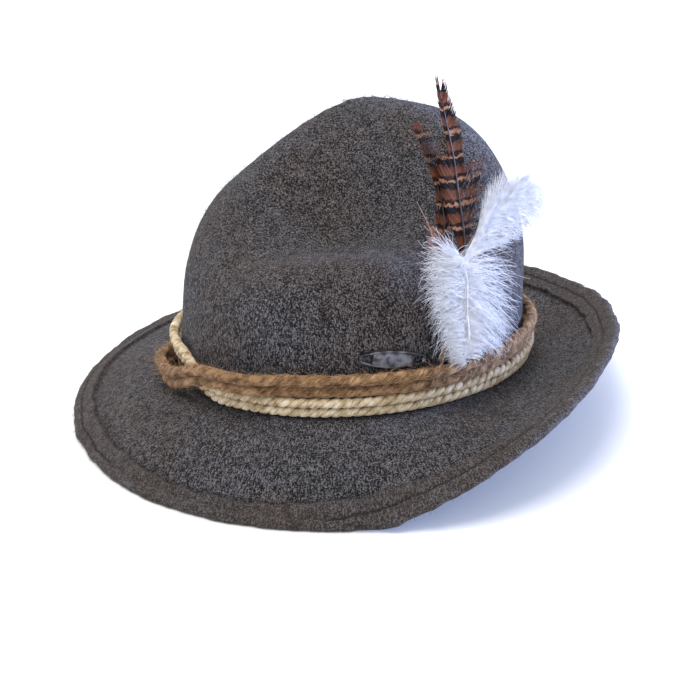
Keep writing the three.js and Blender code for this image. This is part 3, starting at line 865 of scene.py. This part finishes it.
def vane_barbs(line, layer, side, table, spacing, seed, leans, ragged, width=0.34):
    """The barbs on one side of a vane: lines, sides and maps for ribbons. The table gives the
    vane's breadth by the height where a barb leaves the shaft. leans are how steeply the barbs
    climb, along the vane and at its tip."""
    rng = np.random.default_rng(seed)
    share = np.linspace(0, 1, 8)
    heights, breadths = np.array(table, float).T
    roots = np.arange(heights[0], heights[-1], spacing)
    count = len(roots)
    roots = roots + rng.normal(0, spacing * 0.3, count)
    reach = np.interp(roots, heights, breadths) * (1 + rng.normal(0, 0.025 + 0.2 * ragged, count))
    reach = np.clip(reach, 0.3, 1.25 * breadths.max())[:, None]
    bunch = np.interp(roots, *uneven_line(rng, roots[0], roots[-1], 3.2)) * ragged
    bend = rng.normal(0, 0.015 + 0.1 * ragged, count) + 0.35 * bunch
    along = line(roots)[:, None] + side * reach * share**0.92
    toward_tip = ((roots - heights[0]) / (heights[-1] - heights[0])).clip(0, 1) ** 7
    lean = (leans[0] + (leans[1] - leans[0]) * toward_tip)[:, None]
    climb = lean * reach * (0.72 * share + 0.28 * share**2.2) * (1 + bend[:, None] * share)
    up = roots[:, None] + climb
    lift = rng.normal(0, 0.2 + 1.1 * ragged, count)[:, None] * share**1.5
    out = layered(layer, up) + lift
    points = standing(along, up, out)
    step = np.stack([np.gradient(up, axis=1), -np.gradient(along, axis=1)], -1)
    step = unit(step) * (width / 2 * (1 - 0.75 * share**1.5))[:, None]
    edge = standing(along + step[..., 0], up + step[..., 1], out)
    maps = np.stack([roots[:, None] + climb * 0.9, side * reach * share], -1)
    return points, edge - points, maps


def uneven_line(rng, start, end, spacing):
    """Random values between -1 and 1 at even places, for barbs that cling together in bunches."""
    places = np.arange(start, end + spacing, spacing)
    return places, rng.uniform(-1, 1, len(places))


def feather(kind, node, points, layer, sides, radii, vane, shaft):
    """A brown feather: the vane that its sides make, and its shaft."""
    line = shaft_line(points)
    barbs = [vane_barbs(line, layer + ahead, *side) for ahead, *side in sides]
    bm = ribbons(*(np.vstack(parts) for parts in zip(*barbs)), BARB_THICKNESS / 1000)
    to_piece(to_mesh(bm, kind + "_feather_vane"), vane, [node])
    ends = (radii[0][0], radii[0][-1])
    quill(kind + "_feather_shaft", line, ends, layer + SHAFT_AHEAD[kind], radii, shaft)


def brushed(rng, line, layer, side, count, roots, reaches, rises, curl, spread):
    """Soft fibres from one side of a shaft. reaches and rises give a fibre's length across and
    its slope by the height of its root. None hangs lower than the upper brown cord."""
    lines = []
    t = np.linspace(0, 1, 6)
    for root in rng.uniform(*roots, count):
        reach = np.interp(root, *np.array(reaches, float).T) * rng.beta(2.4, 1.2) * 1.12
        slope = np.interp(root, *np.array(rises, float).T) + rng.normal(0, spread)
        drift = rng.normal(0, 0.09, 2)[:, None] * reach * np.sin(t * rng.uniform(2, 7))
        along = line(root) + side * reach * (t - 0.1 * t * t) + drift[0]
        up = root + reach * (slope * t + curl * t * t) + drift[1]
        out = layer + rng.normal(0, 2.6) * np.sin(np.pi * np.minimum(t * 0.75 + 0.05, 1))
        up = np.maximum(up, FIBRE_FLOOR + rng.uniform(0, 2))
        lines.append(standing(along, up, np.maximum(out, 6.2 + 4 * (1 - smooth(up, 20, 27)))))
    return lines


# Shafts as [along, up] points, and breadths of vanes by the height where a barb leaves the shaft
LONG_SHAFT = (
    (2.6, 12), (2.6, 18), (3.6, 30), (7, 49), (9, 66), (9, 75), (8.3, 84), (6.2, 93),
    (4.5, 102), (3, 110.3), (0.9, 120.6), (-1.9, 129.9), (-4.7, 140.1), (-7.4, 148.1), (-9.4, 157),
)
LONG_LEFT = (
    (66, 2), (72, 5), (76, 8.6), (79, 11.6), (84, 13), (92, 13.2), (102, 12.6), (106, 10),
    (111, 6.6), (117, 4.2), (124, 3), (132, 4.3), (138, 3.9), (142, 3.2), (147.5, 2.9),
)
LONG_RIGHT = ((101, 4.8), (109, 4.7), (116, 5), (123, 5.5), (130, 4.7), (136, 4.1), (141, 3.1), (146, 2.9))
LONG_RAGGED = ((68, 3), (76, 5), (80, 8), (85, 10.5), (91, 12.5), (96, 11.5), (101, 8), (106, 4.5))
SHORT_SHAFT = (
    (-9, 12), (-9, 30), (-7, 50), (-3, 75), (-1.5, 90), (-5, 102),
    (-9.5, 113), (-14, 122), (-18, 129), (-23, 137),
)
SHORT_EDGES = ((60, 3), (80, 4), (98, 4), (110, 3.4), (122, 2.6), (134, 1.2))
SMALL_SHAFT = ((-4.5, 12), (-4.5, 30), (-5.5, 50), (-9, 74), (-12.5, 83), (-17, 92), (-22.5, 101))
SMALL_LEFT = ((62, 4), (70, 6.4), (78, 4.4), (84, 2.2), (91, 0.3))
SMALL_RIGHT = ((60, 4), (66, 6.5), (74, 6), (82, 2.6), (91, 0.3))

# The sides of each vane: how far in front of the feather's layer, the side, the breadths, the way
# between barbs, the seed, how steeply they climb, how ragged they are and how broad
LONG_SIDES = (
    (0, -1, LONG_LEFT, 0.25, 5, (1.3, 2.9), 0.1),
    (0, 1, LONG_RIGHT, 0.25, 6, (1.35, 2.9), 0.12),
    (-0.2, 1, LONG_RAGGED, 0.62, 8, (1.7, 1.7), 1.1),
    (0.1, -1, ((134, 1.2), (148.5, 1.6)), 0.3, 14, (4.5, 4.5), 0, 0.6),
    (0.1, 1, ((134, 1.2), (147, 1.6)), 0.3, 15, (4.5, 4.5), 0, 0.6),
)
SHORT_SIDES = (
    (0, -1, SHORT_EDGES, 0.3, 9, (2.3, 2.3), 0.6, 0.42),
    (0, 1, SHORT_EDGES, 0.36, 10, (2.6, 2.6), 0.8, 0.42),
)
SMALL_SIDES = (
    (0, -1, SMALL_LEFT, 0.3, 11, (1.5, 1.5), 0.35),
    (0, 1, SMALL_RIGHT, 0.3, 12, (1.4, 1.4), 0.3),
)

CURLING_WISPS = 46
SIDE_WISPS = 16

# Each shaft's heights and its radii there
LONG_RADII = ((12, 40, 80, 130, 157), (0.9, 0.85, 0.55, 0.3, 0.1))
SHORT_RADII = ((12, 60, 137), (0.85, 0.6, 0.15))
SMALL_RADII = ((12, 60, 101), (0.85, 0.5, 0.08))


class HAT_OT_brown_feathers(bpy.types.Operator):
    """Makes the three brown feathers from their shafts and barbs"""

    bl_idname = "hat.brown_feathers"
    bl_label = "Brown feathers"

    def execute(self, context):
        barred = barred_finish("barred_vane", context.scene.hat)
        dark = plain_finish("dark_shaft", shade("232129"), shade("4a4853"), 0.35, 0.2)
        tan = plain_finish("small_vane", shade("43271c"), shade("96664a"), 0.75, 0.35)
        spike = plain_finish("tan_spike", shade("8c6648"), shade("b48d6c"), 0.4, 0.3)
        long = (LONG_SHAFT, LONG_LAYER, LONG_SIDES, LONG_RADII)
        short = (SHORT_SHAFT, SHORT_LAYER, SHORT_SIDES, SHORT_RADII)
        small = (SMALL_SHAFT, SMALL_LAYER, SMALL_SIDES, SMALL_RADII)
        feather("long", "barred_feather_long", *long, barred, dark)
        feather("short", "barred_feather_short", *short, barred, dark)
        self.wisps(dark)
        feather("small", "brown_feather_small", *small, tan, spike)
        return {"FINISHED"}

    def wisps(self, finish):
        """Thin curling hairs between the two barred feathers, and straighter ones by the ragged side."""
        rng = np.random.default_rng(13)
        lines = []
        t = np.linspace(0, 1, 9)
        for _ in range(CURLING_WISPS):
            root = rng.uniform(113, 129)
            along = np.interp(root, (113, 129), (-11, -17.5)) + rng.uniform(4, 13) * t
            up = root + rng.uniform(1, 9) * t - rng.uniform(0, 9) * t * t + rng.normal(0, 0.5) * np.sin(5 * t)
            lines.append(standing(along, up, 1.8 + rng.uniform(0, 2.2) * np.sin(3 * t)))
        for _ in range(SIDE_WISPS):
            root = rng.uniform(80, 104)
            along = np.interp(root, (80, 104), (10, 6)) + rng.uniform(5, 9) * t**1.3
            up = root + rng.uniform(14, 24) * t
            lines.append(standing(along, up, 3.4 + rng.normal(0, 1.2) * t))
        curve = strands("brown_feather_wisps", lines, 0.11)
        to_piece(curve, finish)


# The curved feather's shaft and the line of its barbs' tips, and the fluffy feather's shaft
CURVED_SHAFT = ((5.5, 30), (5.5, 58), (7.5, 70), (13, 78), (21, 85), (31, 92), (39, 98), (44, 104))
CURVED_TIPS = (
    (21, 99), (25, 104.5), (31.5, 107.5), (39, 109), (44.5, 106.5), (51.5, 99.5), (59, 95),
    (63.5, 89.5), (63.5, 83), (57, 78), (48, 75.5), (36, 74), (27, 73.5),
)
FLUFFY_SHAFT = ((1.5, 12), (1.6, 21), (2.6, 36), (2.7, 52), (2.6, 61), (0.9, 67), (-1.9, 74))

CURVED_BARBS = 1500
CURVED_WISPS = 26

# The fluffy feather's fibres, lock by lock: layer, side, count, the span of their roots, their
# lengths and slopes by the height of the root, curl and spread
FLUFFY_LEFT = ((20, 8), (26, 11), (33, 15), (42, 19), (52, 22), (62, 25), (68, 25), (73, 18))
FLUFFY_RIGHT = ((20, 4), (26, 8), (36, 17), (46, 25), (55, 32), (62, 37), (68, 33))
RISING = ((20, 0.5), (40, 0.3), (60, 0.35), (73, 0.45))
FALLING = ((20, 0.3), (30, -0.35), (42, -0.8), (55, -0.7), (63, -0.35), (68, 0))
FLUFFY_LOCKS = (
    (FLUFFY_LAYER - 0.3, -1, 1500, (21, 73), FLUFFY_LEFT, RISING, -0.25, 0.33),
    (FLUFFY_LAYER, 1, 900, (24, 66), FLUFFY_RIGHT, FALLING, -0.05, 0.12),
    (FLUFFY_LAYER + 0.3, 1, 420, (24, 72), ((24, 10), (72, 13)), ((24, 0.2), (72, 0.3)), -0.3, 0.5),
    (FLUFFY_LAYER, 1, 70, (62, 71), ((62, 42), (71, 30)), ((62, 0.1), (71, 0.25)), -0.3, 0.2),
    (FLUFFY_LAYER, -1, 420, (66, 73), ((66, 13), (73, 10)), ((66, 0.6), (73, 0.85)), -0.3, 0.45),
)


class HAT_OT_white_feathers(bpy.types.Operator):
    """Makes the curved white feather and the fluffy one"""

    bl_idname = "hat.white_feathers"
    bl_label = "White feathers"

    def execute(self, context):
        # The white down glows faintly: painted light that stands in for light scattered through its fibres
        painted_glow = {"Emission_Color": (0.9, 0.93, 1, 1), "Emission_Strength": 0.09}
        white = plain_finish("white_down", shade("cfd1da"), shade("e9ebf2"), 0.8, 0.3, **painted_glow)
        glass = plain_finish("white_quill", shade("dddbdd"), shade("f4f3f4"), 0.3, 0.3)
        self.curved(white, glass)
        self.fluffy(white, glass)
        return {"FINISHED"}

    def curved(self, white, glass):
        """A plume: fine barbs that leave the shaft at a small angle and fan out to its tips."""
        rng = np.random.default_rng(17)
        spots = arch(CURVED_SHAFT, 200)
        points = standing(spots[:, 0], spots[:, 1], layered(CURVED_LAYER, spots[:, 1]))
        curve = strands("curved_feather_quill", [points], 0.7, (1.1, 0.15))
        curve.bevel_resolution = 2
        to_piece(curve, glass, ["white_feather_curved"])
        free = spots[spots[:, 1] > 66]
        tips = arch(CURVED_TIPS, 200)
        t = np.linspace(0, 1, 7)[:, None]
        lines = []
        for _ in range(CURVED_BARBS):
            place = rng.uniform(0, 1)
            tip = tips[int(place * 199)] + rng.normal(0, 1.3, 2)
            apart = abs(place - 0.36) / (0.36 if place < 0.36 else 0.64)
            share = np.clip(0.85 - 0.85 * apart + rng.normal(0, 0.13), 0, 0.97)
            root = free[int((len(free) - 1) * share)]
            tip = root + (tip - root) * rng.uniform(0.72, 1.04)
            ahead = free[-1] - free[0]
            bend = root + ahead / np.hypot(*ahead) * np.hypot(*(tip - root)) * 0.5
            path = root * (1 - t) ** 2 + bend * 2 * t * (1 - t) + tip * t**2
            path = path + rng.normal(0, 0.3, 2) * np.sin(4 * t)
            out = CURVED_LAYER + rng.normal(0, 1.3) * t[:, 0] + 0.6 * np.sin(3 * t[:, 0])
            lines.append(standing(path[:, 0], path[:, 1], out))
        for _ in range(CURVED_WISPS):
            end = np.array([rng.uniform(19, 27), rng.uniform(88, 103)])
            root = free[int(rng.uniform(0, 0.4) * len(free))]
            path = root + (end - root) * np.c_[t**0.7, t]
            lines.append(standing(path[:, 0], path[:, 1], CURVED_LAYER + rng.normal(0, 1) * t[:, 0]))
        curve = strands("curved_feather_barbs", lines, 0.1, (1, 0.45))
        to_piece(curve, white)

    def fluffy(self, white, glass):
        rng = np.random.default_rng(23)
        line = shaft_line(FLUFFY_SHAFT)
        radii = ((12, 40, 60, 74), (0.8, 0.5, 0.35, 0.12))
        layer = FLUFFY_LAYER + 2.5
        nodes = ["white_feather_fluffy"]
        quill("fluffy_feather_quill", line, (14, 72), layer, radii, glass, nodes)
        lines = []
        for lock in FLUFFY_LOCKS:
            lines += brushed(rng, line, *lock)
        curve = strands("fluffy_feather_down", lines, 0.11, (1, 0.4))
        to_piece(curve, white)


def arched(share):
    """How high a hair stands along its length, as a share of its lift."""
    return np.sin(np.pi * (0.15 + 0.7 * share))


def hair_lines(roots, course, length, bend, lift):
    """Hairs that leave their roots on a course, bend aside and are lifted in the middle."""
    share = np.array(HAIR_STATIONS)[:, None]
    roots, course, length, bend, lift = (value[:, None] for value in (roots, course, length, bend, lift))
    lines = roots + length * (course * share + bend * share**2) + lift * arched(share)
    return placed(tipped(lines))


class HAT_OT_fuzz(bpy.types.Operator):
    """Lays loose hairs on the felt and on the brown cords"""

    bl_idname = "hat.fuzz"
    bl_label = "Loose hairs"

    def execute(self, context):
        settings = context.scene.hat
        rng = np.random.default_rng(41)
        hair = plain_finish("felt_hair", settings.felt_mid, settings.fibre_light, 0.95, 0.35)
        count = settings.felt_hairs
        direction = rng.uniform(0, 360, count)
        rise = rng.uniform(0, 1, count) ** 0.8 * 0.97
        lines = self.crown_hairs(rng, direction, rise)
        to_piece(strands("crown_hairs", lines, FELT_HAIR_RADIUS), hair)
        lines = self.brim_hairs(rng, settings, count)
        to_piece(strands("brim_hairs", lines, FELT_HAIR_RADIUS), hair)
        tan = plain_finish("jute_hair", settings.jute_mid, settings.jute_light, 0.85, 0.5)
        for upper in (True, False):
            lines = self.cord_hairs(rng, upper, settings.cord_hairs)
            name = "jute_hairs_upper" if upper else "jute_hairs_lower"
            to_piece(strands(name, lines, CORD_HAIR_RADIUS), tan)
        return {"FINISHED"}

    def crown_hairs(self, rng, direction, rise):
        points = crown_point(direction, rise)
        normals = crown_normal(points)
        wander = rng.normal(0, 1, points.shape)
        course = unit(wander - normals * np.sum(wander * normals, -1, keepdims=True) + (0, 0, 0.5))
        length = rng.uniform(1.5, 6, len(points))[:, None]
        bend = np.cross(normals, course) * rng.normal(0, 0.4, len(points))[:, None]
        lift = normals * rng.uniform(0.1, 0.8, len(points))[:, None]
        return hair_lines(points, course, length, bend, lift)

    def brim_hairs(self, rng, settings, count):
        felt = settings.felt * 1000
        direction = rng.uniform(0, 360, count)
        way = BRIM_WIDTH * rng.uniform(0, 1, count) ** 0.75
        way = np.where(rng.uniform(0, 1, count) < 0.3, BRIM_WIDTH - rng.uniform(0, 2.5, count), way)
        turn = rng.uniform(0, 2 * np.pi, count)
        length = rng.uniform(1.5, 5, count)
        lift = rng.uniform(0.1, 0.7, count)
        hem = np.where(way > BRIM_WIDTH - settings.hem_width * 1000, settings.hem_rise * 1000, 0)
        hem = hem - 2.4 * smooth(way, 57.6, 60)
        stations = []
        for t in HAIR_STATIONS:
            ways = np.clip(way + length * t * np.cos(turn), 1, BRIM_WIDTH + 1.4)
            turns = direction + length * t * np.sin(turn) / (1.75 + ways * 0.0175)
            over = brim_under(turns, ways, felt)
            up = felt + hem + lift * arched(t)
            stations.append(over + brim_normal(turns, ways, felt) * up[:, None])
        return placed(np.stack(stations, 1))

    def cord_hairs(self, rng, upper, count):
        direction = rng.uniform(0, 360, count)
        height, out = cord_place(True, upper, direction)
        middle = wall_point(direction, height, out)
        turn = rng.uniform(-0.6 * np.pi, 0.75 * np.pi, count)
        outward = band_normal(direction) * np.cos(turn)[:, None]
        outward[:, 2] += np.sin(turn)
        around = np.cross((0, 0, 1), band_normal(direction))
        around = around * rng.choice((-1, 1), count)[:, None]
        loose = (rng.uniform(0, 1, count) < 0.16)[:, None]
        length = np.where(loose, rng.uniform(4, 11, (count, 1)), rng.uniform(1.5, 5, (count, 1)))
        rise = np.where(loose, rng.uniform(0.2, 0.9, (count, 1)), rng.uniform(0, 0.35, (count, 1)))
        bend = rng.normal(0, 0.2, (count, 3))
        course = unit(around + outward * rise)
        roots = middle + outward * JUTE_RADIUS * 0.95
        return hair_lines(roots, course, length, bend, outward * 0)


# The photograph's point of view: degrees round from the front and up, metres away, the height
# aimed at in millimetres, and the lens
CAMERA_TURN = 25.912
CAMERA_RISE = 23.4
CAMERA_DISTANCE = 0.8812
CAMERA_AIM = 29
CAMERA_LENS = 87.15
CAMERA_SHIFT = (-0.0064, -0.008)


class HAT_OT_stage(bpy.types.Operator):
    """Sets the floor, the soft lights and the camera"""

    bl_idname = "hat.stage"
    bl_label = "Stage"

    def execute(self, context):
        bm = bmesh.new()
        bmesh.ops.create_grid(bm, x_segments=1, y_segments=1, size=8)
        mesh = to_mesh(bm, "floor")
        mesh.materials.append(plain_finish("pale_floor", shade("f4f4f5"), shade("f8f8f8"), 0.9, 0.002))
        floor = bpy.data.objects.new("floor", mesh)
        context.scene.collection.objects.link(floor)
        world = context.scene.world or bpy.data.worlds.new("World")
        context.scene.world = world
        world.use_nodes = True
        background = world.node_tree.nodes["Background"]
        background.inputs["Color"].default_value = (0.95, 0.97, 1, 1)
        background.inputs["Strength"].default_value = 0.8
        self.light("key", (-0.15, -0.5, 1.85), 1.1, 23, (1, 0.96, 0.92))
        self.light("sky", (1.05, 1.05, 0.22), 0.4, 52, (0.4, 0.55, 1))
        self.light("back", (-0.5, 1.4, 1.3), 1.0, 8, (1, 0.98, 0.96))
        turn = math.radians(CAMERA_TURN)
        rise = math.radians(CAMERA_RISE)
        toward = np.array([math.sin(turn) * math.cos(rise), -math.cos(turn) * math.cos(rise), math.sin(rise)])
        camera = bpy.data.objects.new("camera", bpy.data.cameras.new("camera"))
        context.scene.collection.objects.link(camera)
        camera.location = placed(np.array((0, 0, CAMERA_AIM))) + CAMERA_DISTANCE * toward
        camera.rotation_euler = (math.pi / 2 - rise, 0, turn)
        camera.data.lens = CAMERA_LENS
        camera.data.sensor_width = 36
        camera.data.shift_x, camera.data.shift_y = CAMERA_SHIFT
        context.scene.camera = camera
        context.scene.view_settings.view_transform = "Standard"
        return {"FINISHED"}

    def light(self, name, place, size, power, colour):
        """A soft round lamp that faces the hat."""
        lamp = bpy.data.lights.new(name, "AREA")
        lamp.shape = "DISK"
        lamp.size = size
        lamp.energy = power
        lamp.color = colour
        holder = bpy.data.objects.new(name, lamp)
        holder.location = place
        holder.rotation_euler = Vector(place).to_track_quat("Z", "Y").to_euler()
        bpy.context.scene.collection.objects.link(holder)


class HAT_PT_panel(bpy.types.Panel):
    bl_label = "Felt hat"
    bl_idname = "HAT_PT_panel"
    bl_space_type = "VIEW_3D"
    bl_region_type = "UI"
    bl_category = "Felt hat"

    def draw(self, context):
        for operator in OPERATORS:
            self.layout.operator(operator.bl_idname)
        for name in HatSettings.__annotations__:
            self.layout.prop(context.scene.hat, name)


OPERATORS = (
    HAT_OT_crown,
    HAT_OT_brim,
    HAT_OT_stitches,
    HAT_OT_cords,
    HAT_OT_plate,
    HAT_OT_brown_feathers,
    HAT_OT_white_feathers,
    HAT_OT_fuzz,
    HAT_OT_stage,
)


def register():
    for kind in (HatSettings, *OPERATORS, HAT_PT_panel):
        bpy.utils.register_class(kind)
    bpy.types.Scene.hat = bpy.props.PointerProperty(type=HatSettings)


def unregister():
    del bpy.types.Scene.hat
    for kind in (HAT_PT_panel, *reversed(OPERATORS), HatSettings):
        bpy.utils.unregister_class(kind)


def main():
    register()
    bpy.ops.hat.crown()
    bpy.ops.hat.brim()
    bpy.ops.hat.stitches()
    bpy.ops.hat.cords()
    bpy.ops.hat.plate()
    bpy.ops.hat.brown_feathers()
    bpy.ops.hat.white_feathers()
    bpy.ops.hat.fuzz()
    bpy.ops.hat.stage()


if __name__ == "__main__":
    main()
